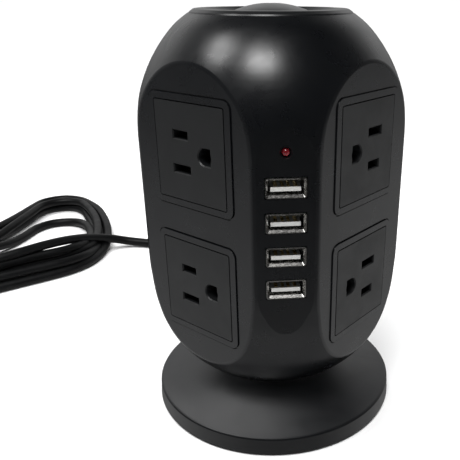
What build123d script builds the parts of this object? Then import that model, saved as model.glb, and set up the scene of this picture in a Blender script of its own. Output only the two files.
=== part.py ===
"""Tower power strip: a barrel-shaped body on a weighted foot.

Frame: origin at the centre of the foot's resting face, +Z up, the rib with the
USB ports faces -Y.  Millimetres.
"""
from build123d import *
import math
import os

os.makedirs("parts", exist_ok=True)

# ------------------------------------------------------------------ driving dimensions
WALL = 2.4  # moulded shell
FACET_D = 45.76  # axis to each flat facet
FRONT_FLAT = 53.0  # axis to the flat that carries the USB ports
FACETS = {"front_left": -135, "front_right": -45, "rear_right": 45, "rear_left": 135}
HAND = {"front_left": 1, "front_right": -1, "rear_right": 1, "rear_left": -1}
FRONT = ("front_left", "front_right")
REAR = ("rear_left", "rear_right")

SHELL_BOTTOM = 19.5
SHELL_TOP = 168.0
LOWER = [(28.5, 19.5), (33.4, 22.2), (38.2, 26.0), (42.1, 30.0), (45.2, 34.0), (47.6, 38.0),
         (49.4, 42.0), (50.8, 46.0), (51.8, 50.0), (52.9, 56.0), (53.6, 64.0), (54.0, 75.0)]
UPPER = [(54.0, 121.0), (53.85, 127.0), (53.35, 132.5), (52.2, 138.5), (50.35, 144.0),
         (47.6, 150.0), (43.9, 156.0), (40.0, 161.0), (36.0, 165.0), (31.9, 168.0)]

OUTLET_Z = (121.6, 68.2)
FRAME_W, FRAME_H, FRAME_R, FRAME_T = 41.2, 42.0, 3.5, 0.45
GROOVE_W, GROOVE_D = 0.4, 0.4  # the line round each outlet frame
EDGE_R = 2.5  # rounding of the facets' edges
FACE_W, FACE_H = 34.8, 36.1
FACE_GAP = 0.4
FACE_FRONT = FACET_D + FRAME_T + 0.1
TRAY_FRONT = 42.0
TRAY_BACK = 28.0
TRAY_Z = (48.5, 141.5)

SLOT_X = -4.48  # blade slots, from the outlet's centre
SLOT_Z = 6.35  # half of the 12.7 mm blade spacing
HOT_L, NEUTRAL_L, SLOT_H = 7.2, 8.6, 2.9
EARTH_X, EARTH_R = 7.42, 3.1

USB_Z = (114.1, 101.3, 88.5, 75.7)
USB_W, USB_H, USB_T = 13.1, 5.8, 0.3
USB_LIP_W, USB_LIP_H = 14.5, 7.4
USB_FRONT, USB_BACK = 53.15, 39.3
LED_Z = 126.4

RIM_Z = 169.6
BUTTON_R, BUTTON_HOLE_R = 14.0, 14.35
DOME_R, DOME_PEAK = 39.0, 171.55
TRAVEL = 2.5

POSTS = [(sx * 32.4, z) for sx in (-1, 1) for z in (41.0, 147.5)]
BASE_SCREWS = [(16 * math.cos(math.radians(a)), 16 * math.sin(math.radians(a))) for a in (45, 135, 225, 315)]
PLATE_SCREWS = [(40 * math.cos(math.radians(a)), 40 * math.sin(math.radians(a))) for a in (0, 90, 180, 270)]
FEET = [(43 * math.cos(math.radians(a)), 43 * math.sin(math.radians(a))) for a in (45, 135, 225, 315)]

CORD_D = 6.0
EXIT_Z = 46.0
RELIEF_END = 84.0
ROUTE = [(0, 84, 46), (0, 112, 46), (-3, 140, 32), (-15, 163, 16), (-38, 173, 4.2),
         (-69.5, 175.5, 3.1), (-99, 185.5, 3.1)]
HANK = [(-186, 88), (-150, 95), (-120, 112), (-104, 143), (-101.9, 177.0), (-96.1, 194.0), (-103, 226),
        (-121, 264), (-150, 290), (-174, 290), (-196, 264), (-211, 218), (-219.5, 176), (-236, 150),
        (-236, 122), (-262, 119), (-286, 108), (-294, 84), (-286, 58), (-262, 44), (-234, 48), (-208, 68)]
HANK_TOP = 26.0


# ------------------------------------------------------------------ helpers
def facet(name, d):
    """A plane square to one facet, d from the axis; its x runs round the barrel, its y is up."""
    a = math.radians(FACETS[name])
    return Plane(origin=(d * math.cos(a), d * math.sin(a), 0), x_dir=(-math.sin(a), math.cos(a), 0),
                 z_dir=(math.cos(a), math.sin(a), 0))


def slab(name, d0, d1, x, z, w, h, mode=Mode.ADD, radius=0.0, taper=0.0):
    """A rectangular block on a facet from d0 to d1."""
    with BuildSketch(facet(name, d0)) as s:
        with Locations((x, z)):
            if radius:
                RectangleRounded(w, h, radius)
            else:
                Rectangle(w, h)
    extrude(s.sketch, amount=d1 - d0, mode=mode, taper=taper)


def rod(plane, x, y, r, length, mode=Mode.ADD, taper=0.0):
    """A round bar that stands on a plane."""
    with BuildSketch(plane) as s:
        with Locations((x, y)):
            Circle(r)
    extrude(s.sketch, amount=length, mode=mode, taper=taper)


def block(x0, x1, y0, y1, z0, z1, mode=Mode.ADD):
    """A block between two corners."""
    with BuildSketch(Plane.XY.offset(z0)) as s:
        with Locations(((x0 + x1) / 2, (y0 + y1) / 2)):
            Rectangle(x1 - x0, y1 - y0)
    extrude(s.sketch, amount=z1 - z0, mode=mode)


def inset(points, t):
    """The points of a profile moved t square to it, towards the axis."""
    moved = []
    for i, (r, z) in enumerate(points):
        r0, z0 = points[max(i - 1, 0)]
        r1, z1 = points[min(i + 1, len(points) - 1)]
        n = math.hypot(r1 - r0, z1 - z0)
        moved.append((r - t * (z1 - z0) / n, z + t * (r1 - r0) / n))
    return moved


def slots(name, zc, d0, d1, grow=0.0, taper=0.0):
    """The two blade slots and the D-shaped earth hole of one outlet, cut from d0 to d1."""
    k = HAND[name]
    for x, z, w, h in ((SLOT_X, SLOT_Z, HOT_L, SLOT_H), (SLOT_X, -SLOT_Z, NEUTRAL_L, SLOT_H),
                       (EARTH_X + 1.4, 0, 2.8, 2 * EARTH_R)):
        slab(name, d0, d1, x * k, zc + z * k, w + 2 * grow, h + 2 * grow, mode=Mode.SUBTRACT, taper=taper)
    rod(facet(name, d0), EARTH_X * k, zc, EARTH_R + grow, d1 - d0, mode=Mode.SUBTRACT, taper=taper)


def shell_features(names):
    """The raised outlet frames, before the shell is hollowed."""
    for name in names:
        for zc in OUTLET_Z:
            slab(name, FACET_D - GROOVE_D, FACET_D + 1, 0, zc, FRAME_W + 2 * GROOVE_W, FRAME_H + 2 * GROOVE_W,
                 radius=FRAME_R + GROOVE_W, mode=Mode.SUBTRACT)
            slab(name, FACET_D - GROOVE_D - 0.1, FACET_D + FRAME_T, 0, zc, FRAME_W, FRAME_H, radius=FRAME_R, taper=8)


def shell_windows(names):
    for name in names:
        for zc in OUTLET_Z:
            slab(name, 38, FACET_D + 2, 0, zc, FACE_W + 2 * FACE_GAP, FACE_H + 2 * FACE_GAP,
                 mode=Mode.SUBTRACT, radius=1.0)


# ------------------------------------------------------------------ the barrel's outside and inside
with BuildPart() as barrel:
    with BuildSketch(Plane.XZ) as barrel_section:
        with BuildLine():
            lower = Spline(*LOWER, tangents=((0.9, 0.44), (0, 1)))
            upper = Spline(*UPPER, tangents=((0, 1), (-0.82, 0.57)))
            Line(lower @ 1, upper @ 0)
            Polyline(upper @ 1, (0, SHELL_TOP), (0, SHELL_BOTTOM), lower @ 0)
        make_face()
    revolve(axis=Axis.Z)
    for side in FACETS:
        slab(side, FACET_D, FACET_D + 20, 0, 94, 100, 180, mode=Mode.SUBTRACT)
    fillet([e for e in barrel.edges() if any(all(abs((e @ t).dot(facet(side, 0).z_dir) - FACET_D) < 0.02
            for t in (0.05, 0.3, 0.55, 0.8)) for side in FACETS)], EDGE_R)
    block(-30, 30, -70, -FRONT_FLAT, 30, 160, mode=Mode.SUBTRACT)

with BuildPart() as cavity:
    with BuildSketch(Plane.XZ) as cavity_section:
        with BuildLine():
            lower_in = Spline(*inset(LOWER, WALL)[1:])
            upper_in = Spline(*inset(UPPER, WALL)[:-1])
            Line(lower_in @ 1, upper_in @ 0)
            Polyline(upper_in @ 1, (29.5, 165.4), (27.5, 165.4), (27.5, 168.4), (0, 168.4), (0, 19.0),
                     (26.0, 19.0), (26.0, 21.2), lower_in @ 0)
        make_face()
    revolve(axis=Axis.Z)
    for side in FACETS:
        slab(side, FACET_D - WALL, FACET_D + 20, 0, 94, 100, 180, mode=Mode.SUBTRACT)
    block(-30, 30, -70, -FRONT_FLAT + WALL, 30, 160, mode=Mode.SUBTRACT)

# ------------------------------------------------------------------ front shell
with BuildPart() as front_shell:
    add(barrel.part)
    shell_features(FRONT)
    add(cavity.part, mode=Mode.SUBTRACT)
    shell_windows(FRONT)
    for x, z in POSTS:
        rod(Plane.XZ, x, z, 4.2, 28.0)
    split(bisect_by=Plane.XZ, keep=Keep.TOP)
    for x, z in POSTS:
        rod(Plane.XZ, x, z, 1.5, 16.0, mode=Mode.SUBTRACT)
    for z in USB_Z:
        with BuildSketch(Plane.XZ.offset(46)):
            with Locations((0, z)):
                RectangleRounded(USB_LIP_W + 0.5, USB_LIP_H + 0.5, 0.5)
        extrude(amount=10, mode=Mode.SUBTRACT)
    rod(Plane.XZ.offset(46), 0, LED_Z, 1.65, 10, mode=Mode.SUBTRACT)
    rod(Plane.XZ.offset(FRONT_FLAT), 0, LED_Z, 2.25, -0.6, mode=Mode.SUBTRACT, taper=35)
front_shell.part.label = "front_shell"
export_step(front_shell.part, "parts/front_shell.step")

# ------------------------------------------------------------------ rear shell
with BuildPart() as rear_shell:
    add(barrel.part)
    shell_features(REAR)
    rod(Plane.XZ.offset(-48.0), 0, EXIT_Z, 9.5, -5.0)
    add(cavity.part, mode=Mode.SUBTRACT)
    rod(Plane.XZ.offset(-43.0), 0, EXIT_Z, 9.5, -9.5)
    shell_windows(REAR)
    for x, z in POSTS:
        rod(Plane.XZ, x, z, 4.2, -28.0)
    split(bisect_by=Plane.XZ, keep=Keep.BOTTOM)
    for x, z in POSTS:
        rod(Plane.XZ, x, z, 1.7, -40.0, mode=Mode.SUBTRACT)
        rod(Plane.XZ.offset(-20.0), x, z, 3.3, -20.0, mode=Mode.SUBTRACT)
    rod(Plane.XZ.offset(-38.0), 0, EXIT_Z, 6.4, -20.0, mode=Mode.SUBTRACT)
rear_shell.part.label = "rear_shell"
export_step(rear_shell.part, "parts/rear_shell.step")

# ------------------------------------------------------------------ outlet faces
for side in FACETS:
    for level, zc in zip(("upper", "lower"), OUTLET_Z):
        with BuildPart() as outlet_face:
            slab(side, TRAY_FRONT, FACET_D - WALL, 0, zc, 38.0, 38.8)
            slab(side, FACET_D - WALL, FACE_FRONT, 0, zc, FACE_W, FACE_H, radius=0.6)
            slots(side, zc, TRAY_FRONT - 1, FACE_FRONT + 1)
            slots(side, zc, FACE_FRONT, FACE_FRONT - 0.45, grow=0.4, taper=40)
        outlet_face.part.label = f"outlet_face_{side}_{level}"
        export_step(outlet_face.part, f"parts/outlet_face_{side}_{level}.step")

# ------------------------------------------------------------------ contact trays, one behind each facet
for side in FACETS:
    k = HAND[side]
    with BuildPart() as contact_tray:
        slab(side, TRAY_BACK, TRAY_FRONT, 0, sum(TRAY_Z) / 2, 38.0, TRAY_Z[1] - TRAY_Z[0])
        slab(side, TRAY_BACK, 30.6, 0.5 * k, sum(TRAY_Z) / 2, 24.0, 86.0, mode=Mode.SUBTRACT)
        for zc in OUTLET_Z:
            for dz in (SLOT_Z, -SLOT_Z):
                slab(side, 29, TRAY_FRONT + 1, SLOT_X * k, zc + dz, 9.6, 4.8, mode=Mode.SUBTRACT)
            rod(facet(side, 29), EARTH_X * k, zc, 3.7, 14, mode=Mode.SUBTRACT)
    contact_tray.part.label = f"contact_tray_{side}"
    export_step(contact_tray.part, f"parts/contact_tray_{side}.step")

# ------------------------------------------------------------------ busbars with their clips
for pole, strip_x, dz, tab_x in (("live", -8.5, SLOT_Z, -8.1), ("neutral", -1.5, -SLOT_Z, -1.5)):
    with BuildPart() as busbars:
        for side in FACETS:
            k = HAND[side]
            slab(side, 29.2, 30.0, strip_x * k, sum(OUTLET_Z) / 2, 2.4, 74.0)
            for zc in OUTLET_Z:
                slab(side, 30.0, 30.8, tab_x * k, zc + dz * k, 1.6, 3.0)
                slab(side, 30.8, 31.4, SLOT_X * k, zc + dz * k, 8.8, 3.8)
                for leaf in (-1.6, 1.6):
                    slab(side, 31.4, 41.0, SLOT_X * k, zc + dz * k + leaf, 6.0, 0.6)
    busbars.part.label = f"{pole}_busbars"
    export_step(busbars.part, f"parts/{pole}_busbars.step")

with BuildPart() as earth_busbars:
    for side in FACETS:
        k = HAND[side]
        slab(side, 29.2, 30.0, EARTH_X * k, sum(OUTLET_Z) / 2, 3.0, 66.0)
        for zc in OUTLET_Z:
            slab(side, 30.0, 31.4, EARTH_X * k, zc, 3.0, 5.6)
            for leaf in (-2.6, 2.6):
                slab(side, 31.4, 41.0, EARTH_X * k, zc + leaf, 3.0, 0.6)
earth_busbars.part.label = "earth_busbars"
export_step(earth_busbars.part, "parts/earth_busbars.step")

# ------------------------------------------------------------------ chassis
with BuildPart() as bottom_plate:
    rod(Plane.XY.offset(SHELL_BOTTOM), 0, 0, 25.9, 3.5)
    for x, y in BASE_SCREWS:
        rod(Plane.XY.offset(SHELL_BOTTOM), x, y, 4.0, 27.5)
        rod(Plane.XY.offset(SHELL_BOTTOM), x, y, 2.0, 11.0, mode=Mode.SUBTRACT)
bottom_plate.part.label = "bottom_plate"
export_step(bottom_plate.part, "parts/bottom_plate.step")

with BuildPart() as chassis_plate_lower:
    rod(Plane.XY.offset(47.0), 0, 0, 43.0, 1.5)
    rod(Plane.XY.offset(47.0), 0, 0, 9.0, 1.5, mode=Mode.SUBTRACT)
    block(-9.5, 9.5, 39.5, 50, 46, 49, mode=Mode.SUBTRACT)
chassis_plate_lower.part.label = "chassis_plate_lower"
export_step(chassis_plate_lower.part, "parts/chassis_plate_lower.step")

with BuildPart() as chassis_plate_upper:
    rod(Plane.XY.offset(141.5), 0, 0, 43.0, 1.5)
    for x in (-16, 16):
        rod(Plane.XY.offset(141.5), x, 14, 3.0, 1.5, mode=Mode.SUBTRACT)
    for x in (-5, 5):
        block(x - 0.7, x + 0.7, -2.8, 2.8, 141, 143.5, mode=Mode.SUBTRACT)
chassis_plate_upper.part.label = "chassis_plate_upper"
export_step(chassis_plate_upper.part, "parts/chassis_plate_upper.step")

with BuildPart() as power_board:
    block(-24, 24, -0.8, 0.8, TRAY_Z[0], TRAY_Z[1])
power_board.part.label = "power_board"
export_step(power_board.part, "parts/power_board.step")

with BuildPart() as transformer:
    block(-12, 12, 0.8, 16.8, 66, 84)
    block(-12, -8, 0.8, 16.8, 70, 80, mode=Mode.SUBTRACT)
    block(8, 12, 0.8, 16.8, 70, 80, mode=Mode.SUBTRACT)
transformer.part.label = "transformer"
export_step(transformer.part, "parts/transformer.step")

with BuildPart() as capacitors:
    for x, z, r, length in ((-12, 112, 5.0, 16.0), (0, 112, 5.0, 16.0), (12, 112, 5.0, 16.0), (0, 92, 4.0, 12.0)):
        rod(Plane.XZ.offset(0.8), x, z, r, length)
capacitors.part.label = "capacitors"
export_step(capacitors.part, "parts/capacitors.step")

with BuildPart() as varistors:
    for x in (-14, 0, 14):
        with BuildSketch(Plane.XY.offset(112)):
            with Locations((x, 7.0)):
                Circle(5.0)
        extrude(amount=4.0)
        block(x - 3, x - 2.2, 0.8, 3.2, 113.6, 114.4)
        block(x + 2.2, x + 3, 0.8, 3.2, 113.6, 114.4)
varistors.part.label = "varistors"
export_step(varistors.part, "parts/varistors.step")

with BuildPart() as usb_board:
    block(-10, 10, -USB_BACK, -USB_BACK + 1.6, TRAY_Z[0], TRAY_Z[1])
usb_board.part.label = "usb_board"
export_step(usb_board.part, "parts/usb_board.step")

# ------------------------------------------------------------------ USB ports
for i, z in enumerate(USB_Z, start=1):
    with BuildPart() as usb_port:
        with BuildSketch(Plane.XZ.offset(USB_BACK)):
            with Locations((0, z)):
                RectangleRounded(USB_W, USB_H, 0.6)
                RectangleRounded(USB_W - 2 * USB_T, USB_H - 2 * USB_T, 0.35, mode=Mode.SUBTRACT)
        extrude(amount=USB_FRONT - USB_BACK - 0.9)
        with BuildSketch(Plane.XZ.offset(USB_FRONT - 0.9)) as lip_root:
            with Locations((0, z)):
                RectangleRounded(USB_W, USB_H, 0.6)
        with BuildSketch(Plane.XZ.offset(USB_FRONT)) as lip_edge:
            with Locations((0, z)):
                RectangleRounded(USB_LIP_W, USB_LIP_H, 0.9)
        loft()
        with BuildSketch(Plane.XZ.offset(USB_FRONT - 0.9)) as mouth_root:
            with Locations((0, z)):
                RectangleRounded(USB_W - 2 * USB_T, USB_H - 2 * USB_T, 0.35)
        with BuildSketch(Plane.XZ.offset(USB_FRONT)) as mouth_edge:
            with Locations((0, z)):
                RectangleRounded(USB_LIP_W - 0.7, USB_LIP_H - 0.7, 0.65)
        loft(mode=Mode.SUBTRACT)
    usb_port.part.label = f"usb_port_{i}"
    export_step(usb_port.part, f"parts/usb_port_{i}.step")

with BuildPart() as usb_tongues:
    for z in USB_Z:
        block(-6.1, 6.1, -USB_BACK - 2.6, -USB_BACK, z - 2.45, z + 2.45)
        block(-5.3, 5.3, -USB_FRONT + 1.6, -USB_BACK - 2.6, z - 1.5, z + 0.05)
usb_tongues.part.label = "usb_tongues"
export_step(usb_tongues.part, "parts/usb_tongues.step")

with BuildPart() as usb_contacts:
    for z in USB_Z:
        for x, w in ((-3.5, 1.2), (-1.0, 1.0), (1.0, 1.0), (3.5, 1.2)):
            block(x - w / 2, x + w / 2, -USB_FRONT + 2.4, -USB_BACK - 2.6, z + 0.05, z + 0.35)
usb_contacts.part.label = "usb_contacts"
export_step(usb_contacts.part, "parts/usb_contacts.step")

# ------------------------------------------------------------------ pilot light
with BuildPart() as indicator_led:
    with BuildSketch(Plane.XZ.offset(46.0)):
        with Locations((0, LED_Z)):
            Circle(1.85)
    extrude(amount=1.2)
    with BuildSketch(Plane.XZ.offset(47.2)):
        with Locations((0, LED_Z)):
            Circle(1.5)
    extrude(amount=4.6)
    with Locations((0, -51.8, LED_Z)):
        Sphere(1.5)
    for x in (-0.64, 0.64):
        block(x - 0.2, x + 0.2, -46.0, -USB_BACK, LED_Z - 0.2, LED_Z + 0.2)
indicator_led.part.label = "indicator_led"
export_step(indicator_led.part, "parts/indicator_led.step")

# ------------------------------------------------------------------ top cap
with BuildPart() as top_cap:
    with BuildSketch(Plane.XZ):
        with BuildLine():
            Polyline((31.5, 168.0), (31.2, 168.5), (29.9, 169.4), (29.2, RIM_Z), (26.2, RIM_Z), (25.2, 169.0),
                     (22.5, 167.6), (19.0, 167.0), (BUTTON_HOLE_R + 0.4, 166.9), (BUTTON_HOLE_R, 166.5),
                     (BUTTON_HOLE_R, 158.5), (16.2, 158.5), (16.2, 164.9), (19.4, 165.0), (23.3, 165.9),
                     (25.5, 166.9), (25.5, 160.8), (27.3, 160.8), (27.3, 168.0), close=True)
        make_face()
    revolve(axis=Axis.Z)
    fillet(top_cap.edges().filter_by(GeomType.CIRCLE).filter_by(lambda e: abs(e.center().Z - RIM_Z) < 0.01), 0.3)
top_cap.part.label = "top_cap"
export_step(top_cap.part, "parts/top_cap.step")

# ------------------------------------------------------------------ power button, spring and switch
edge_z = DOME_PEAK - DOME_R + math.sqrt(DOME_R ** 2 - BUTTON_R ** 2)
with BuildPart() as power_button:
    with BuildSketch(Plane.XZ):
        with BuildLine():
            crown = ThreePointArc((0, DOME_PEAK), (7.0, DOME_PEAK - DOME_R + math.sqrt(DOME_R ** 2 - 49.0)),
                                  (BUTTON_R - 0.3, edge_z + 0.1))
            Polyline(crown @ 1, (BUTTON_R, edge_z - 0.3), (BUTTON_R, 158.1), (15.2, 158.1), (15.2, 156.6),
                     (12.4, 156.6), (12.4, 167.6), (7.0, 168.2), (7.0, 163.0), (2.5, 163.0), (2.5, 150.5),
                     (0, 150.5), (0, DOME_PEAK))
        make_face()
    revolve(axis=Axis.Z)
    with Locations((0, 0, DOME_PEAK + 15.6)):
        Sphere(16.2, mode=Mode.SUBTRACT)
power_button.part.label = "power_button"
export_step(power_button.part, "parts/power_button.step")

with BuildPart() as power_switch:
    block(-7.5, 7.5, -7.5, 7.5, 143.0, 153.0)
    rod(Plane.XY.offset(147.0), 0, 0, 2.9, 7.0, mode=Mode.SUBTRACT)
    for x in (-5.0, 5.0):
        block(x - 0.4, x + 0.4, -2.4, 2.4, 141.5, 143.0)
power_switch.part.label = "power_switch"
export_step(power_switch.part, "parts/power_switch.step")

with BuildPart() as button_spring:
    with BuildLine() as spring_line:
        Helix(pitch=1.85, height=8.4, radius=5.0, center=(0, 0, 153.9))
    with BuildSketch(Plane(origin=spring_line.line @ 0, z_dir=spring_line.line % 0)):
        Circle(0.45)
    sweep(path=spring_line.line, is_frenet=True)
button_spring.part.label = "button_spring"
export_step(button_spring.part, "parts/button_spring.step")

# ------------------------------------------------------------------ foot
with BuildPart() as base_cover:
    with BuildSketch(Plane.XZ):
        with BuildLine():
            flare = Spline((53.0, 8.4), (45.0, 9.9), (37.5, 12.0), (32.2, 14.7), (29.2, 17.2), (28.2, 19.5),
                           tangents=((-1, 0.1), (-0.1, 1)))
            under = Spline((51.4, 6.1), (44.6, 7.5), (36.4, 9.8), (30.3, 12.7), (26.6, 15.8), (25.6, 17.1))
            Polyline(flare @ 1, (0, 19.5), (0, 17.1), under @ 1)
            Polyline(under @ 0, (51.9, 5.4), (51.9, 1.2), (54.3, 1.2), (53.9, 7.6), (53.55, 8.2), flare @ 0)
        make_face()
    revolve(axis=Axis.Z)
    for x, y in PLATE_SCREWS:
        rod(Plane.XY.offset(3.5), x, y, 3.6, 6.0)
        rod(Plane.XY.offset(3.5), x, y, 1.5, 5.4, mode=Mode.SUBTRACT)
    for x, y in BASE_SCREWS:
        rod(Plane.XY.offset(16), x, y, 2.2, 5, mode=Mode.SUBTRACT)
base_cover.part.label = "base_cover"
export_step(base_cover.part, "parts/base_cover.step")

with BuildPart() as base_weight:
    rod(Plane.XY.offset(3.5), 0, 0, 33.5, 5.5)
    chamfer(base_weight.edges().group_by(Axis.Z)[-1], 0.8)
base_weight.part.label = "base_weight"
export_step(base_weight.part, "parts/base_weight.step")

with BuildPart() as base_plate:
    rod(Plane.XY.offset(1.5), 0, 0, 51.5, 2.0)
    for x, y in PLATE_SCREWS:
        with BuildSketch(Plane.XY.offset(1.5)) as seat:
            with Locations((x, y)):
                Circle(3.0)
        extrude(seat.sketch, amount=1.5, taper=45, mode=Mode.SUBTRACT)
        rod(Plane.XY.offset(1.5), x, y, 1.6, 2.0, mode=Mode.SUBTRACT)
base_plate.part.label = "base_plate"
export_step(base_plate.part, "parts/base_plate.step")

with BuildPart() as rubber_feet:
    for x, y in FEET:
        rod(Plane.XY, x, y, 6.0, 1.5)
    chamfer(rubber_feet.edges().group_by(Axis.Z)[0], 0.3)
rubber_feet.part.label = "rubber_feet"
export_step(rubber_feet.part, "parts/rubber_feet.step")

# ------------------------------------------------------------------ fasteners
with BuildPart() as base_plate_screws:
    for x, y in PLATE_SCREWS:
        with BuildSketch(Plane.XY.offset(1.6)) as head:
            with Locations((x, y)):
                Circle(2.75)
        extrude(head.sketch, amount=1.35, taper=45)
        rod(Plane.XY.offset(1.6), x, y, 1.4, 6.8)
        block(x - 1.8, x + 1.8, y - 0.35, y + 0.35, 1.5, 2.3, mode=Mode.SUBTRACT)
        block(x - 0.35, x + 0.35, y - 1.8, y + 1.8, 1.5, 2.3, mode=Mode.SUBTRACT)
base_plate_screws.part.label = "base_plate_screws"
export_step(base_plate_screws.part, "parts/base_plate_screws.step")

with BuildPart() as neck_screws:
    for x, y in BASE_SCREWS:
        rod(Plane.XY.offset(14.6), x, y, 3.6, 2.5)
        rod(Plane.XY.offset(14.6), x, y, 1.9, 15.0)
        block(x - 2.2, x + 2.2, y - 0.4, y + 0.4, 14.5, 15.9, mode=Mode.SUBTRACT)
        block(x - 0.4, x + 0.4, y - 2.2, y + 2.2, 14.5, 15.9, mode=Mode.SUBTRACT)
neck_screws.part.label = "neck_screws"
export_step(neck_screws.part, "parts/neck_screws.step")

with BuildPart() as shell_screws:
    for x, z in POSTS:
        rod(Plane.XZ.offset(-22.0), x, z, 2.9, 2.0)
        rod(Plane.XZ.offset(-20.0), x, z, 1.4, 34.0)
        block(x - 1.8, x + 1.8, 21.0, 22.1, z - 0.35, z + 0.35, mode=Mode.SUBTRACT)
        block(x - 0.35, x + 0.35, 21.0, 22.1, z - 1.8, z + 1.8, mode=Mode.SUBTRACT)
shell_screws.part.label = "shell_screws"
export_step(shell_screws.part, "parts/shell_screws.step")

# ------------------------------------------------------------------ cord
with BuildPart() as strain_relief:
    with BuildSketch(Plane.YZ):
        with BuildLine():
            Polyline((40.4, EXIT_Z), (40.4, EXIT_Z + 8.2), (43.0, EXIT_Z + 8.2), (43.0, EXIT_Z + 6.3),
                     (53.0, EXIT_Z + 6.3), (53.0, EXIT_Z + 8.0), (54.6, EXIT_Z + 8.0), (55.4, EXIT_Z + 7.0),
                     (56.0, EXIT_Z + 6.2), (RELIEF_END, EXIT_Z + 4.0), (RELIEF_END, EXIT_Z), close=True)
        make_face()
    revolve(axis=Axis((0, 0, EXIT_Z), (0, 1, 0)))
strain_relief.part.label = "strain_relief"
export_step(strain_relief.part, "parts/strain_relief.step")

bends = []
for a, b, c in zip(ROUTE, ROUTE[1:], ROUTE[2:]):
    run_in, run_out = Vector(*b) - Vector(*a), Vector(*c) - Vector(*b)
    half_turn = math.radians(run_in.get_angle(run_out)) / 2
    bends.append(0.45 * min(run_in.length, run_out.length) / math.tan(half_turn))
print("cord bend radii", [round(r, 1) for r in bends])
with BuildPart() as cord_lead:
    with BuildLine() as lead_line:
        FilletPolyline(*ROUTE, radius=bends)
    with BuildSketch(Plane(origin=lead_line.line @ 0, z_dir=lead_line.line % 0)):
        Circle(CORD_D / 2)
    sweep(path=lead_line.line)
cord_lead.part.label = "cord_lead"
export_step(cord_lead.part, "parts/cord_lead.step")
print("cord lead length", round(lead_line.wire().length, 1), "volume", round(cord_lead.part.volume, 1),
      "section x length", round(math.pi * CORD_D ** 2 / 4 * lead_line.wire().length, 1))

with BuildPart() as cord_hank:
    with BuildSketch(Plane.XY.offset(0.05)):
        with BuildLine():
            Polyline(*HANK, close=True)
        make_face()
    extrude(amount=HANK_TOP - 0.05)
    chamfer(cord_hank.edges().group_by(Axis.Z)[-1], 5.0)
cord_hank.part.label = "cord_hank"
export_step(cord_hank.part, "parts/cord_hank.step")

# ------------------------------------------------------------------ plug, lying beside the hank
PLUG_EXIT = Vector(-236.0, 136.0, 12.6)
PLUG_DIR = Vector(-1.0, 0.0, 0.0)
plug_back = Plane(origin=PLUG_EXIT, x_dir=Vector(0, 0, 1).cross(PLUG_DIR), z_dir=PLUG_DIR)
with BuildPart() as plug_body:
    with BuildSketch(plug_back):
        Circle(4.4)
    with BuildSketch(plug_back.offset(20)):
        Circle(7.6)
    loft()
    with BuildSketch(plug_back.offset(20)):
        RectangleRounded(20.0, 18.0, 6.0)
    with BuildSketch(plug_back.offset(34)):
        RectangleRounded(26.5, 24.6, 6.5)
    loft()
    with BuildSketch(plug_back.offset(34)):
        RectangleRounded(26.5, 24.6, 6.5)
    extrude(amount=14)
plug_body.part.label = "plug_body"
export_step(plug_body.part, "parts/plug_body.step")

with BuildPart() as plug_blades:
    with BuildSketch(plug_back.offset(48)):
        with Locations((-6.35, 4.5), (6.35, 4.5)):
            Rectangle(1.5, 6.35)
    extrude(amount=15.9)
    chamfer(plug_blades.edges().group_by(Axis(PLUG_EXIT, PLUG_DIR))[-1], 0.4)
plug_blades.part.label = "plug_blades"
export_step(plug_blades.part, "parts/plug_blades.step")

with BuildPart() as plug_earth_pin:
    with BuildSketch(plug_back.offset(48)):
        with Locations((0, -7.4)):
            Circle(2.38)
    extrude(amount=18.2)
    chamfer(plug_earth_pin.edges().group_by(Axis(PLUG_EXIT, PLUG_DIR))[-1], 0.9)
plug_earth_pin.part.label = "plug_earth_pin"
export_step(plug_earth_pin.part, "parts/plug_earth_pin.step")
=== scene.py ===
"""Looks of the tower power strip: camera, cord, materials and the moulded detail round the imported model."""

import math

import bmesh
import bpy
import numpy as np
from mathutils import Matrix, Vector


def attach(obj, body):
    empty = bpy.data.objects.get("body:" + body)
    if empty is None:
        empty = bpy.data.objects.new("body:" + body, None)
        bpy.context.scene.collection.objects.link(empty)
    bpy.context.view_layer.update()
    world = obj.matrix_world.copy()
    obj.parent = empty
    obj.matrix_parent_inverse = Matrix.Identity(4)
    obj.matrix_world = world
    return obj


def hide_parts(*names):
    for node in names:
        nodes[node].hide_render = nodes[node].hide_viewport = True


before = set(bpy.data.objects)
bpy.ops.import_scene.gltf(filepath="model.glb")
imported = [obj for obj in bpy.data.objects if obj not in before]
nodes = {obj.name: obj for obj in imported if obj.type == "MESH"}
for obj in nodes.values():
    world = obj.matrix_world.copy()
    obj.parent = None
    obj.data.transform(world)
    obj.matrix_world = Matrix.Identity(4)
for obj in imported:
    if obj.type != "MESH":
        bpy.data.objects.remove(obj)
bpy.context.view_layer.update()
scene = bpy.context.scene


# ------------------------------------------------------------------ camera
eye = Vector((-0.02152, -0.25358, 0.17691))
right = Vector((0.992926, -0.118652, 0.004331))
up = Vector((0.042790, 0.391635, 0.919125))
ahead = Vector((0.110753, 0.912438, -0.393942))
cam_data = bpy.data.cameras.new("camera")
cam_data.sensor_width = 36.0
cam_data.lens = 48.365
cam_data.shift_x = -0.13935
cam_data.shift_y = 0.04848
cam_data.clip_start = 0.01
cam_data.clip_end = 60.0
camera = bpy.data.objects.new("camera", cam_data)
scene.collection.objects.link(camera)
camera.matrix_world = Matrix((
    (right.x, up.x, -ahead.x, eye.x),
    (right.y, up.y, -ahead.y, eye.y),
    (right.z, up.z, -ahead.z, eye.z),
    (0, 0, 0, 1),
))
scene.camera = camera


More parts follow.
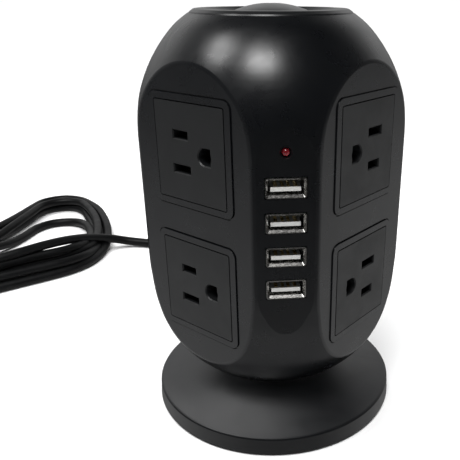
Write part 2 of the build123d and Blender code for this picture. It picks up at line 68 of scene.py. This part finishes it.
# ------------------------------------------------------------------ materials
class Net:
    """A small helper that adds nodes to a material and links them."""

    def __init__(self, name):
        self.mat = bpy.data.materials.new(name)
        self.mat.use_nodes = True
        self.tree = self.mat.node_tree
        self.tree.nodes.clear()
        self.out = self.tree.nodes.new("ShaderNodeOutputMaterial")
        self.bsdf = self.tree.nodes.new("ShaderNodeBsdfPrincipled")
        self.link(self.bsdf.outputs["BSDF"], self.out.inputs["Surface"])
        self.coords = self.tree.nodes.new("ShaderNodeTexCoord")
        self.place = self.coords.outputs["Object"]

    def link(self, a, b):
        self.tree.links.new(a, b)

    def node(self, kind, **values):
        n = self.tree.nodes.new(kind)
        for key, value in values.items():
            setattr(n, key, value)
        return n

    def noise(self, scale, detail=3.0, rough=0.55, stretch=None, distortion=0.0):
        n = self.node("ShaderNodeTexNoise")
        n.inputs["Scale"].default_value = scale
        n.inputs["Detail"].default_value = detail
        n.inputs["Roughness"].default_value = rough
        n.inputs["Distortion"].default_value = distortion
        source = self.place
        if stretch:
            m = self.node("ShaderNodeMapping")
            m.inputs["Scale"].default_value = stretch
            self.link(source, m.inputs["Vector"])
            source = m.outputs["Vector"]
        self.link(source, n.inputs["Vector"])
        return n.outputs["Fac"]

    def ramp(self, value, low, high, a=0.35, b=0.65):
        n = self.node("ShaderNodeMapRange")
        n.inputs["From Min"].default_value = a
        n.inputs["From Max"].default_value = b
        n.inputs["To Min"].default_value = low
        n.inputs["To Max"].default_value = high
        self.link(value, n.inputs["Value"])
        return n.outputs["Result"]

    def colours(self, value, first, second, a=0.35, b=0.65):
        n = self.node("ShaderNodeValToRGB")
        n.color_ramp.elements[0].position = a
        n.color_ramp.elements[1].position = b
        n.color_ramp.elements[0].color = (*first, 1)
        n.color_ramp.elements[1].color = (*second, 1)
        self.link(value, n.inputs["Fac"])
        return n.outputs["Color"]

    def mix(self, factor, a, b, kind="MIX"):
        n = self.node("ShaderNodeMix", data_type="RGBA", blend_type=kind)
        if isinstance(factor, float):
            n.inputs[0].default_value = factor
        else:
            self.link(factor, n.inputs[0])
        self.link(a, n.inputs[6])
        if isinstance(b, tuple):
            n.inputs[7].default_value = (*b, 1)
        else:
            self.link(b, n.inputs[7])
        return n.outputs[2]

    def maths(self, operation, a, b=0.0):
        n = self.node("ShaderNodeMath", operation=operation)
        for i, v in enumerate((a, b)):
            if isinstance(v, (int, float)):
                n.inputs[i].default_value = v
            else:
                self.link(v, n.inputs[i])
        return n.outputs[0]

    def bump(self, height, distance, strength=1.0):
        n = self.node("ShaderNodeBump")
        n.inputs["Distance"].default_value = distance
        n.inputs["Strength"].default_value = strength
        last = self.bsdf.inputs["Normal"]
        if last.is_linked:
            self.link(last.links[0].from_socket, n.inputs["Normal"])
        self.link(height, n.inputs["Height"])
        self.link(n.outputs["Normal"], last)

    def specks(self, density, size, share):
        """Sparse small dots: 1 inside a dot, 0 elsewhere."""
        v = self.node("ShaderNodeTexVoronoi")
        v.inputs["Scale"].default_value = density
        self.link(self.place, v.inputs["Vector"])
        near = self.maths("LESS_THAN", v.outputs["Distance"], size)
        split = self.node("ShaderNodeSeparateColor")
        self.link(v.outputs["Color"], split.inputs["Color"])
        chosen = self.maths("GREATER_THAN", split.outputs[0], 1 - share)
        return self.maths("MULTIPLY", near, chosen)

    def set(self, **values):
        for key, value in values.items():
            self.bsdf.inputs[key.replace("_", " ")].default_value = value


def plastic(name, base, rough, grain=1600.0, grain_depth=0.00002, mottle=0.25, rough_var=0.05, dust=0.0, coat=0.0,
            dust_colour=(0.30, 0.30, 0.29), specular=0.5, waves=0.0):
    """Moulded plastic: a slightly uneven colour, a fine mould grain, broad flow marks and a little dust."""
    n = Net(name)
    broad = n.noise(38.0, 4.0, 0.6)
    colour = n.colours(broad, tuple(c * (1 - mottle) for c in base), tuple(c * (1 + mottle) for c in base), 0.3, 0.7)
    fine = n.noise(grain, 2.0, 0.6)
    smear = n.noise(90.0, 5.0, 0.65, distortion=0.6)
    roughness = n.ramp(smear, rough - rough_var, rough + rough_var)
    if dust:
        dots = n.specks(420.0, 0.13, dust)
        fibres = n.specks(150.0, 0.05, dust * 1.5)
        both = n.maths("MAXIMUM", dots, fibres)
        colour = n.mix(both, colour, dust_colour)
        roughness = n.maths("MAXIMUM", roughness, n.maths("MULTIPLY", both, 0.9))
    n.link(colour, n.bsdf.inputs["Base Color"])
    n.link(roughness, n.bsdf.inputs["Roughness"])
    n.bump(fine, grain_depth)
    if waves:
        n.bump(n.noise(45.0, 2.0, 0.4), waves)
    n.bsdf.inputs["Specular IOR Level"].default_value = specular
    n.bsdf.inputs["Coat Weight"].default_value = coat
    n.bsdf.inputs["Coat Roughness"].default_value = 0.2
    return n


def metal(name, base, rough, brush=None, tarnish=None, depth=0.000004):
    n = Net(name)
    spots = n.noise(220.0, 4.0, 0.6)
    dark = tarnish or tuple(c * 0.72 for c in base)
    n.link(n.colours(spots, dark, base, 0.3, 0.6), n.bsdf.inputs["Base Color"])
    streaks = n.noise(900.0, 3.0, 0.6, stretch=brush or (1, 1, 1))
    n.link(n.ramp(streaks, rough * 0.75, rough * 1.3), n.bsdf.inputs["Roughness"])
    n.bump(streaks, depth)
    n.bsdf.inputs["Metallic"].default_value = 1.0
    return n


shell = plastic("satin_shell", (0.0038, 0.0044, 0.0056), 0.29, grain=2300.0, grain_depth=0.000006, mottle=0.12,
                rough_var=0.03, dust=0.0, waves=0.00003)
cap = plastic("cap_plastic", (0.0085, 0.0092, 0.0102), 0.33, grain=2300.0, grain_depth=0.000006, mottle=0.12,
              rough_var=0.03, dust=0.010)
button_look = plastic("button_plastic", (0.0085, 0.0092, 0.0100), 0.30, grain=2600.0, grain_depth=0.000004, mottle=0.10,
                      rough_var=0.03, dust=0.010)
outlet = plastic("outlet_plastic", (0.0070, 0.0078, 0.0086), 0.43, grain=2600.0, grain_depth=0.00003, mottle=0.10,
                 rough_var=0.05, dust=0.006)
foot_shell = plastic("base_plastic", (0.0050, 0.0056, 0.0068), 0.37, grain=2300.0, grain_depth=0.000006, mottle=0.12,
                     rough_var=0.03, dust=0.010, waves=0.00002)
inner = plastic("inner_plastic", (0.006, 0.006, 0.0065), 0.6, grain=1200.0, grain_depth=0.00002)
rubber = plastic("foot_rubber", (0.012, 0.012, 0.012), 0.75, grain=900.0, grain_depth=0.00006, mottle=0.35)
tongue = plastic("tongue_plastic", (0.62, 0.62, 0.60), 0.45, grain=2000.0, grain_depth=0.00001, mottle=0.06)
component = plastic("component", (0.02, 0.035, 0.10), 0.35, grain=900.0)
ferrite = plastic("core", (0.035, 0.032, 0.030), 0.7, grain=700.0, grain_depth=0.00005, mottle=0.3)
nickel = metal("nickel", (0.52, 0.51, 0.49), 0.24, brush=(1, 1, 6), depth=0.0000015)
brass = metal("contact_brass", (0.72, 0.55, 0.25), 0.3)
plug_brass = metal("plug_brass", (0.78, 0.74, 0.66), 0.24, brush=(0.15, 1, 1))
spring_steel = metal("spring_steel", (0.5, 0.5, 0.5), 0.35)
weight_steel = metal("weight_steel", (0.38, 0.38, 0.38), 0.5, depth=0.00001)
screw_steel = metal("screw_steel", (0.45, 0.45, 0.46), 0.35)

board = Net("circuit_board")
tracks = board.node("ShaderNodeTexBrick")
tracks.inputs["Scale"].default_value = 160.0
tracks.inputs["Mortar Size"].default_value = 0.03
tracks.inputs["Color1"].default_value = (0.015, 0.10, 0.035, 1)
tracks.inputs["Color2"].default_value = (0.020, 0.13, 0.045, 1)
tracks.inputs["Mortar"].default_value = (0.05, 0.22, 0.09, 1)
board.link(board.place, tracks.inputs["Vector"])
board.link(tracks.outputs["Color"], board.bsdf.inputs["Base Color"])
board.link(board.ramp(board.noise(300.0), 0.3, 0.45), board.bsdf.inputs["Roughness"])

led = Net("led_lens")
glow = led.noise(700.0, 3.0, 0.5)
led.link(led.colours(glow, (0.09, 0.003, 0.006), (0.17, 0.006, 0.012)), led.bsdf.inputs["Base Color"])
led.link(led.ramp(glow, 0.14, 0.24), led.bsdf.inputs["Roughness"])
led.bsdf.inputs["Coat Weight"].default_value = 0.6
led.bsdf.inputs["Coat Roughness"].default_value = 0.08


def jacket(name, base=(0.0046, 0.0049, 0.0054), rough=0.47):
    """Extruded PVC: fine draw lines, uneven gloss where it has been handled, a little dust."""
    n = Net(name)
    tone = n.noise(60.0, 4.0, 0.6)
    colour = n.colours(tone, tuple(c * 0.8 for c in base), tuple(c * 1.35 for c in base))
    dots = n.specks(500.0, 0.12, 0.012)
    colour = n.mix(dots, colour, (0.22, 0.22, 0.21))
    n.link(colour, n.bsdf.inputs["Base Color"])
    n.link(n.ramp(n.noise(120.0, 5.0, 0.7, distortion=0.8), rough - 0.06, rough + 0.08), n.bsdf.inputs["Roughness"])
    n.bump(n.noise(1100.0, 3.0, 0.6), 0.000012)
    n.bump(n.noise(170.0, 2.0, 0.5), 0.00005)
    n.bsdf.inputs["Specular IOR Level"].default_value = 0.30
    return n


cord_pvc = jacket("cord_pvc")
plug_pvc = plastic("plug_pvc", (0.0065, 0.0068, 0.0074), 0.46, grain=1500.0, grain_depth=0.00002, mottle=0.2,
                   dust=0.010, rough_var=0.06)
tie_look = plastic("tie_plastic", (0.018, 0.018, 0.019), 0.42, grain=1800.0, grain_depth=0.00001, mottle=0.2)


def dress(names, net):
    for n in names:
        mesh = nodes[n].data
        mesh.materials.clear()
        mesh.materials.append(net.mat)


faces = [n for n in nodes if n.startswith("outlet_face_")]
trays = [n for n in nodes if n.startswith("contact_tray_")]
ports = [n for n in nodes if n.startswith("usb_port_")]
dress(["front_shell", "rear_shell"], shell)
dress(["top_cap"], cap)
dress(["power_button"], button_look)
dress(faces, outlet)
dress(["base_cover"], foot_shell)
dress(trays + ["bottom_plate", "base_plate", "chassis_plate_lower", "chassis_plate_upper", "power_switch"], inner)
dress(["live_busbars", "neutral_busbars", "earth_busbars", "usb_contacts"], brass)
dress(["power_board", "usb_board"], board)
dress(["transformer"], ferrite)
dress(["capacitors", "varistors"], component)
dress(ports, nickel)
dress(["usb_tongues"], tongue)
dress(["indicator_led"], led)
dress(["button_spring"], spring_steel)
dress(["base_weight"], weight_steel)
dress(["rubber_feet"], rubber)
dress(["base_plate_screws", "neck_screws", "shell_screws"], screw_steel)
dress(["strain_relief", "plug_body"], plug_pvc)
dress(["cord_lead", "cord_hank"], cord_pvc)
dress(["plug_blades", "plug_earth_pin"], plug_brass)


# ------------------------------------------------------------------ the cord
CORD_D = 0.006
CORD = [
    (0.0000, 0.0840, 0.0460), (0.0000, 0.1120, 0.0460), (-0.0030, 0.1400, 0.0320), (-0.0150, 0.1630, 0.0160), (-0.0380, 0.1730, 0.0042),
    (-0.0695, 0.1755, 0.0030), (-0.0893, 0.1810, 0.0036), (-0.1034, 0.1776, 0.0081), (-0.1158, 0.1680, 0.0132), (-0.1260, 0.1564, 0.0170),
    (-0.1368, 0.1447, 0.0191), (-0.1486, 0.1339, 0.0195), (-0.1620, 0.1251, 0.0185), (-0.1765, 0.1186, 0.0168), (-0.1916, 0.1134, 0.0153),
    (-0.2070, 0.1092, 0.0144), (-0.2228, 0.1069, 0.0141), (-0.2387, 0.1113, 0.0145), (-0.2535, 0.1029, 0.0141), (-0.2575, 0.0867, 0.0130),
    (-0.2492, 0.0722, 0.0120), (-0.2325, 0.0679, 0.0115), (-0.2192, 0.0773, 0.0118), (-0.2106, 0.0909, 0.0123), (-0.1971, 0.1000, 0.0127),
    (-0.1844, 0.1095, 0.0132), (-0.1714, 0.1189, 0.0135), (-0.1583, 0.1281, 0.0138), (-0.1446, 0.1362, 0.0139), (-0.1303, 0.1437, 0.0135),
    (-0.1199, 0.1562, 0.0122), (-0.1178, 0.1722, 0.0104), (-0.1194, 0.1881, 0.0086), (-0.1236, 0.2033, 0.0067), (-0.1291, 0.2184, 0.0048),
    (-0.1401, 0.2302, 0.0034), (-0.1577, 0.2296, 0.0031), (-0.1679, 0.2171, 0.0031), (-0.1715, 0.2013, 0.0031), (-0.1772, 0.1863, 0.0037),
    (-0.1858, 0.1730, 0.0059), (-0.1951, 0.1602, 0.0082), (-0.2019, 0.1457, 0.0090), (-0.2093, 0.1314, 0.0090), (-0.2205, 0.1199, 0.0090),
    (-0.2346, 0.1119, 0.0090), (-0.2495, 0.1067, 0.0090), (-0.2648, 0.1010, 0.0090), (-0.2704, 0.0847, 0.0090), (-0.2635, 0.0698, 0.0090),
    (-0.2474, 0.0636, 0.0090), (-0.2331, 0.0715, 0.0090), (-0.2216, 0.0826, 0.0090), (-0.2094, 0.0930, 0.0090), (-0.1974, 0.1035, 0.0090),
    (-0.1843, 0.1128, 0.0090), (-0.1709, 0.1215, 0.0090), (-0.1573, 0.1299, 0.0090), (-0.1435, 0.1379, 0.0090), (-0.1293, 0.1453, 0.0090),
    (-0.1175, 0.1566, 0.0090), (-0.1137, 0.1725, 0.0090), (-0.1146, 0.1884, 0.0090), (-0.1174, 0.2042, 0.0090), (-0.1213, 0.2197, 0.0090),
    (-0.1266, 0.2348, 0.0090), (-0.1330, 0.2494, 0.0090), (-0.1414, 0.2634, 0.0090), (-0.1581, 0.2668, 0.0090), (-0.1721, 0.2572, 0.0090),
    (-0.1747, 0.2410, 0.0090), (-0.1782, 0.2256, 0.0089), (-0.1823, 0.2101, 0.0083), (-0.1874, 0.1950, 0.0069), (-0.1929, 0.1801, 0.0052),
    (-0.1985, 0.1651, 0.0038), (-0.2039, 0.1501, 0.0031), (-0.2105, 0.1355, 0.0031), (-0.2207, 0.1230, 0.0031), (-0.2346, 0.1148, 0.0031),
    (-0.2495, 0.1091, 0.0031), (-0.2641, 0.1023, 0.0031), (-0.2744, 0.0894, 0.0031), (-0.2724, 0.0726, 0.0031), (-0.2591, 0.0624, 0.0031),
    (-0.2426, 0.0639, 0.0031), (-0.2288, 0.0720, 0.0031), (-0.2166, 0.0824, 0.0031), (-0.2048, 0.0932, 0.0031), (-0.1925, 0.1034, 0.0031),
    (-0.1795, 0.1127, 0.0031), (-0.1662, 0.1216, 0.0031), (-0.1528, 0.1304, 0.0031), (-0.1394, 0.1390, 0.0031), (-0.1263, 0.1484, 0.0031),
    (-0.1177, 0.1622, 0.0031), (-0.1163, 0.1783, 0.0031), (-0.1182, 0.1942, 0.0031), (-0.1217, 0.2098, 0.0031), (-0.1258, 0.2253, 0.0031),
    (-0.1318, 0.2401, 0.0031), (-0.1370, 0.2553, 0.0031), (-0.1475, 0.2677, 0.0031), (-0.1649, 0.2678, 0.0031), (-0.1762, 0.2557, 0.0031),
    (-0.1774, 0.2395, 0.0031), (-0.1815, 0.2241, 0.0032), (-0.1856, 0.2086, 0.0040), (-0.1911, 0.1937, 0.0055), (-0.1968, 0.1788, 0.0071),
    (-0.2024, 0.1639, 0.0084), (-0.2079, 0.1489, 0.0090), (-0.2150, 0.1345, 0.0090), (-0.2258, 0.1225, 0.0090), (-0.2402, 0.1152, 0.0090),
    (-0.2552, 0.1099, 0.0090), (-0.2693, 0.1019, 0.0090), (-0.2781, 0.0880, 0.0090), (-0.2759, 0.0714, 0.0090), (-0.2633, 0.0605, 0.0090),
    (-0.2469, 0.0595, 0.0090), (-0.2321, 0.0659, 0.0090), (-0.2194, 0.0757, 0.0090), (-0.2076, 0.0864, 0.0090), (-0.1953, 0.0967, 0.0090),
    (-0.1820, 0.1056, 0.0090), (-0.1682, 0.1136, 0.0090), (-0.1542, 0.1214, 0.0089), (-0.1403, 0.1293, 0.0087), (-0.1263, 0.1371, 0.0084),
    (-0.1155, 0.1492, 0.0075), (-0.1118, 0.1650, 0.0060), (-0.1119, 0.1809, 0.0046), (-0.1137, 0.1968, 0.0037), (-0.1167, 0.2125, 0.0032),
    (-0.1207, 0.2280, 0.0031), (-0.1258, 0.2432, 0.0031), (-0.1327, 0.2575, 0.0031), (-0.1410, 0.2714, 0.0031), (-0.1540, 0.2810, 0.0031),
    (-0.1712, 0.2772, 0.0031), (-0.1788, 0.2629, 0.0031), (-0.1821, 0.2472, 0.0031), (-0.1860, 0.2317, 0.0031), (-0.1900, 0.2162, 0.0031),
    (-0.1947, 0.2009, 0.0031), (-0.1994, 0.1856, 0.0031), (-0.2043, 0.1704, 0.0031), (-0.2092, 0.1552, 0.0031), (-0.2153, 0.1404, 0.0031),
    (-0.2247, 0.1272, 0.0031), (-0.2384, 0.1186, 0.0031), (-0.2535, 0.1135, 0.0031), (-0.2680, 0.1066, 0.0031), (-0.2790, 0.0946, 0.0031),
    (-0.2818, 0.0783, 0.0031), (-0.2742, 0.0636, 0.0031), (-0.2595, 0.0562, 0.0031), (-0.2432, 0.0574, 0.0031), (-0.2287, 0.0644, 0.0031),
    (-0.2162, 0.0744, 0.0031), (-0.2044, 0.0851, 0.0031), (-0.1920, 0.0953, 0.0031), (-0.1788, 0.1043, 0.0031), (-0.1650, 0.1124, 0.0031),
    (-0.1511, 0.1204, 0.0031), (-0.1372, 0.1281, 0.0031), (-0.1235, 0.1366, 0.0031), (-0.1132, 0.1491, 0.0032), (-0.1084, 0.1644, 0.0039),
    (-0.1073, 0.1804, 0.0051), (-0.1089, 0.1963, 0.0064), (-0.1125, 0.2119, 0.0074), (-0.1172, 0.2271, 0.0082), (-0.1232, 0.2420, 0.0088),
    (-0.1316, 0.2555, 0.0090), (-0.1416, 0.2683, 0.0090), (-0.1566, 0.2748, 0.0090), (-0.1723, 0.2674, 0.0090), (-0.1772, 0.2518, 0.0090),
    (-0.1812, 0.2364, 0.0090), (-0.1859, 0.2211, 0.0090), (-0.1916, 0.2062, 0.0090), (-0.1978, 0.1915, 0.0090), (-0.2037, 0.1766, 0.0093),
    (-0.2084, 0.1614, 0.0103), (-0.2147, 0.1465, 0.0118), (-0.2250, 0.1360, 0.0126), (-0.2360, 0.1360, 0.0126),
]


def nurbs(name, points, bevel, resolution=10):
    data = bpy.data.curves.new(name, "CURVE")
    data.dimensions = "3D"
    data.resolution_u = resolution
    data.bevel_depth = bevel
    data.bevel_resolution = 5
    data.use_fill_caps = True
    line = data.splines.new("NURBS")
    line.points.add(len(points) - 1)
    for p, q in zip(line.points, points):
        p.co = (*q, 1.0)
    line.order_u = 3
    line.use_endpoint_u = True
    obj = bpy.data.objects.new(name, data)
    scene.collection.objects.link(obj)
    return obj


def centreline(points):
    """The route's own line: points read from its NURBS spline."""
    bare = nurbs("bare_line", points, 0.0)
    mesh = bpy.data.meshes.new_from_object(bare.evaluated_get(bpy.context.evaluated_depsgraph_get()))
    co = np.array([v.co for v in mesh.vertices], float)
    bpy.data.meshes.remove(mesh)
    bpy.data.objects.remove(bare)
    return co


cord = nurbs("power_cord", CORD, CORD_D / 2)
cord.data.materials.append(cord_pvc.mat)
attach(cord, "body")
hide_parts("cord_lead", "cord_hank")


def new_mesh(name, bm, net, smooth=True, bevel=0.0, subdiv=0):
    mesh = bpy.data.meshes.new(name)
    bmesh.ops.recalc_face_normals(bm, faces=bm.faces)
    bm.to_mesh(mesh)
    bm.free()
    for p in mesh.polygons:
        p.use_smooth = smooth
    mesh.set_sharp_from_angle(angle=math.radians(38))
    obj = bpy.data.objects.new(name, mesh)
    scene.collection.objects.link(obj)
    mesh.materials.append(net.mat)
    if subdiv:
        m = obj.modifiers.new("round", "SUBSURF")
        m.levels = subdiv
        m.render_levels = subdiv
    return obj


def tube_of_rings(bm, rings):
    """Joins closed rings of equal length into a skin with end caps."""
    made = [[bm.verts.new(p) for p in ring] for ring in rings]
    for a, b in zip(made, made[1:]):
        n = len(a)
        for i in range(n):
            bm.faces.new((a[i], a[(i + 1) % n], b[(i + 1) % n], b[i]))
    bm.faces.new(list(reversed(made[0])))
    bm.faces.new(made[-1])


# the tie round the hank's waist
line = centreline(CORD)
WAIST = Vector((-0.2085, 0.1115, 0.0))
ALONG = Vector((-0.78, -0.62, 0.0)).normalized()
ACROSS = Vector((-ALONG.y, ALONG.x, 0.0))
rel = line - np.array(WAIST)
along = rel @ np.array(ALONG)
hits = []
for i in range(len(line) - 1):
    if along[i] * along[i + 1] < 0 and np.linalg.norm(rel[i]) < 0.05:
        t = along[i] / (along[i] - along[i + 1])
        p = rel[i] * (1 - t) + rel[i + 1] * t
        hits.append((float(p @ np.array(ACROSS)), float(p[2])))
print("tie holds", len(hits), [tuple(round(v * 1000, 1) for v in h) for h in hits])


def hull(points):
    points = sorted(set(points))
    def half(seq):
        out = []
        for p in seq:
            while len(out) > 1 and (out[-1][0] - out[-2][0]) * (p[1] - out[-2][1]) - (out[-1][1] - out[-2][1]) * (p[0] - out[-2][0]) <= 0:
                out.pop()
            out.append(p)
        return out
    lower, upper = half(points), half(reversed(points))
    return lower[:-1] + upper[:-1]


def band_path(points, grow, steps=96):
    """A smooth closed loop grown round a set of points."""
    cloud = [(x + grow * math.cos(a), z + grow * math.sin(a)) for x, z in points
             for a in np.linspace(0, 2 * math.pi, 24, endpoint=False)]
    loop = hull(cloud)
    pts = np.array(loop + [loop[0]])
    s = np.concatenate([[0], np.cumsum(np.linalg.norm(np.diff(pts, axis=0), axis=1))])
    u = np.linspace(0, s[-1], steps, endpoint=False)
    return [(float(np.interp(v, s, pts[:, 0])), max(0.0004, float(np.interp(v, s, pts[:, 1])))) for v in u]


if len(hits) > 2:
    bm = bmesh.new()
    inside, outside = band_path(hits, 0.00325), band_path(hits, 0.00415)
    count = len(inside)
    wide = (-0.0032, -0.0026, 0.0026, 0.0032)
    rings = []
    for i in range(count):
        (xi, zi), (xo, zo) = inside[i], outside[i]
        zi, zo = max(zi, 0.0004), max(zo, 0.0001)
        mid = ((xi + xo) / 2, (zi + zo) / 2)
        section = [(*mid, wide[0]), (xo, zo, wide[1]), (xo, zo, wide[2]), (*mid, wide[3]), (xi, zi, wide[2]), (xi, zi, wide[1])]
        rings.append([bm.verts.new(WAIST + ACROSS * x + ALONG * w + Vector((0, 0, z))) for x, z, w in section])
    for i in range(count):
        a, b = rings[i], rings[(i + 1) % count]
        for j in range(6):
            bm.faces.new((a[j], a[(j + 1) % 6], b[(j + 1) % 6], b[j]))
    tie = new_mesh("hank_tie", bm, tie_look)
    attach(tie, "body")

# the strain relief: a ribbed boot that thins towards the cord
bm = bmesh.new()
steps = [(40.4, 7.7), (40.9, 8.2), (42.6, 8.2), (43.0, 6.3), (53.0, 6.3), (53.0, 7.7), (53.4, 8.0), (54.4, 8.0),
         (55.2, 7.2), (56.0, 6.2), (57.0, 6.12)]
y = 57.0
while y < 81.5:
    rim = 6.2 - 2.2 * (y - 56.0) / 28.0
    steps += [(y + 0.25, rim - 0.85), (y + 1.15, rim - 0.9), (y + 1.40, rim - 0.12), (y + 1.65, rim - 0.04), (y + 3.0, rim - 0.2)]
    y += 3.1
steps += [(83.4, 3.95), (83.9, 3.7), (84.0, 3.2)]
tube_of_rings(bm, [[(r * math.cos(a) / 1000, y / 1000, 0.046 + r * math.sin(a) / 1000)
                    for a in np.linspace(0, 2 * math.pi, 56, endpoint=False)] for y, r in steps])
boot = new_mesh("cord_boot", bm, plug_pvc)
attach(boot, "body")
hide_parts("strain_relief")


def rounded(width, height, corner, arc=14):
    """Points of a rectangle with round corners, the same number whatever its size."""
    out = []
    for sx, sy, start in ((1, 1, 0), (-1, 1, 90), (-1, -1, 180), (1, -1, 270)):
        for a in np.linspace(start, start + 90, arc):
            a = math.radians(a)
            out.append((sx * (width / 2 - corner) + corner * math.cos(a), sy * (height / 2 - corner) + corner * math.sin(a)))
    return out


# the moulded plug: ribbed boot, waisted head with ridged finger grips, bevelled face
PLUG = Vector((-0.236, 0.136, 0.0126))
bm = bmesh.new()
shape = [(0.0, 7.2, 7.2, 3.6), (0.4, 8.4, 8.4, 4.2)]
d = 1.2
while d < 17.5:
    w = 8.8 + 6.4 * d / 20.0
    shape += [(d, w, w, w / 2), (d + 0.25, w - 1.7, w - 1.7, w / 2 - 0.85), (d + 1.15, w - 1.6, w - 1.6, w / 2 - 0.8),
              (d + 1.4, w + 0.2, w + 0.2, w / 2 + 0.1)]
    d += 2.9
shape += [(19.2, 15.0, 15.0, 7.5), (19.9, 15.2, 15.2, 7.5), (20.2, 18.6, 16.8, 5.6), (20.9, 20.2, 18.2, 6.0)]
shape += [(v, 20.0 + 6.5 * (v - 20) / 14.0, 18.0 + 6.6 * (v - 20) / 14.0, 6.0 + 0.5 * (v - 20) / 14.0)
          for v in np.linspace(21.6, 33.6, 25)]
shape += [(v, 26.5, 24.6, 6.5) for v in np.linspace(34.1, 46.6, 26)]
shape += [(47.2, 26.4, 24.5, 6.4), (47.7, 25.9, 24.0, 6.2), (48.0, 25.0, 23.1, 5.8)]
rings = []
for d, w, h, c in shape:
    ring = []
    for u, v in rounded(w, h, c):
        if 22.5 < d < 45.5:
            ends = min(1.0, (d - 22.5) / 2.5, (45.5 - d) / 2.5)
            side = max(0.0, min(1.0, (abs(u) / (w / 2) - 0.80) / 0.18)) * max(0.0, min(1.0, (8.0 - abs(v)) / 2.0))
            ridge = 0.45 + 0.55 * (0.5 + 0.5 * math.cos(2 * math.pi * (d - 22.5) / 2.9))
            u -= math.copysign(1.15 * ends * side * ridge, u)
        ring.append(PLUG + Vector((-d, -u, v)) / 1000)
    rings.append(ring)
tube_of_rings(bm, rings)
head = new_mesh("moulded_plug", bm, plug_pvc)
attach(head, "body")
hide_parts("plug_body")


# ------------------------------------------------------------------ light and floor
def area(name, place, target, size, energy, size_y=None, colour=(1, 1, 1)):
    data = bpy.data.lights.new(name, "AREA")
    data.shape = "RECTANGLE"
    data.size = size
    data.size_y = size_y or size
    data.energy = energy
    data.color = colour
    obj = bpy.data.objects.new(name, data)
    scene.collection.objects.link(obj)
    obj.location = place
    obj.rotation_mode = "QUATERNION"
    obj.rotation_quaternion = (Vector(target) - Vector(place)).to_track_quat("-Z", "Y")
    return obj


CENTRE = Vector((0, -0.02, 0.12))


def toward(x, y, z, distance):
    return CENTRE + Vector((x, y, z)).normalized() * distance


area("key", toward(-0.17, -0.46, 0.87, 1.1), CENTRE, 0.36, 6.0, 0.25)
area("key_small", toward(-0.55, -0.07, 0.82, 1.1), CENTRE, 0.30, 3.6, 0.28)

sheen = area("foot_sheen", (-0.126, 0.250, 0.560), (-0.020, -0.040, 0.010), 0.17, 1.8, 0.17)
only_foot = bpy.data.collections.new("only_foot")
only_foot.objects.link(nodes["base_cover"])
sheen.light_linking.receiver_collection = only_foot
sheen.light_linking.blocker_collection = only_foot

world = bpy.data.worlds.new("studio")
scene.world = world
world.use_nodes = True
tree = world.node_tree
sky = tree.nodes["Background"]


def world_node(kind, **values):
    n = tree.nodes.new(kind)
    for key, value in values.items():
        setattr(n, key, value)
    return n


def world_ramp(value, a, b, low, high):
    n = world_node("ShaderNodeMapRange", interpolation_type="SMOOTHSTEP")
    for name, v in (("From Min", a), ("From Max", b), ("To Min", low), ("To Max", high)):
        n.inputs[name].default_value = v
    tree.links.new(value, n.inputs["Value"])
    return n.outputs["Result"]


def world_maths(operation, a, b):
    n = world_node("ShaderNodeMath", operation=operation)
    for i, v in enumerate((a, b)):
        if isinstance(v, (int, float)):
            n.inputs[i].default_value = v
        else:
            tree.links.new(v, n.inputs[i])
    return n.outputs[0]


# the room round the table, as the gloss sees it: dark in front, pale walls behind and at the sides
facing = world_node("ShaderNodeSeparateXYZ")
tree.links.new(world_node("ShaderNodeTexCoord").outputs["Generated"], facing.inputs["Vector"])
x_way, y_way, z_way = facing.outputs
wall = world_maths("MULTIPLY", world_ramp(y_way, 0.15, 0.75, 0.0, 1.0), world_ramp(z_way, -0.22, 0.52, 0.06, 0.90))
wall = world_maths("MULTIPLY", wall, world_ramp(z_way, 0.45, 0.85, 1.0, 0.08))
table = world_maths("MULTIPLY", world_ramp(z_way, -0.75, -0.30, 0.42, 0.0), world_ramp(y_way, -0.90, -0.20, 1.45, 0.70))
right_side = world_maths("MULTIPLY", world_ramp(x_way, 0.40, 1.0, 0.0, 0.60), world_ramp(z_way, -0.32, 0.05, 1.0, 0.12))
left_side = world_maths("MULTIPLY", world_ramp(x_way, -0.95, -0.25, 0.56, 0.0), world_ramp(z_way, -0.36, -0.14, 1.0, 0.22))
total = world_maths("ADD", world_maths("ADD", wall, table), world_maths("ADD", right_side, left_side))
total = world_maths("ADD", total, 0.015)
path = world_node("ShaderNodeLightPath")
seen = world_maths("MAXIMUM", path.outputs["Is Camera Ray"], total)
tone = world_node("ShaderNodeCombineColor")
for i in range(3):
    tree.links.new(seen, tone.inputs[i])
tree.links.new(tone.outputs[0], sky.inputs["Color"])
sky.inputs["Strength"].default_value = 1.0

bm = bmesh.new()
bmesh.ops.create_circle(bm, cap_ends=True, segments=96, radius=14.0)
floor_mesh = bpy.data.meshes.new("floor")
bm.to_mesh(floor_mesh)
bm.free()
floor = bpy.data.objects.new("floor", floor_mesh)
scene.collection.objects.link(floor)
floor_look = Net("floor")
floor_look.link(floor_look.colours(floor_look.noise(3.0), (0.86, 0.86, 0.86), (0.9, 0.9, 0.9)), floor_look.bsdf.inputs["Base Color"])
floor_look.bsdf.inputs["Roughness"].default_value = 0.8
floor_mesh.materials.append(floor_look.mat)
floor.visible_glossy = False
sun_data = bpy.data.lights.new("floor_light", "SUN")
sun_data.energy = 3.3
sun_data.angle = 1.2
sun = bpy.data.objects.new("floor_light", sun_data)
scene.collection.objects.link(sun)
sun.location = (0, 0, 2)
only_floor = bpy.data.collections.new("only_floor")
only_floor.objects.link(floor)
sun.light_linking.receiver_collection = only_floor

scene.view_settings.view_transform = "Standard"
scene.view_settings.look = "None"
scene.view_settings.exposure = 0.0
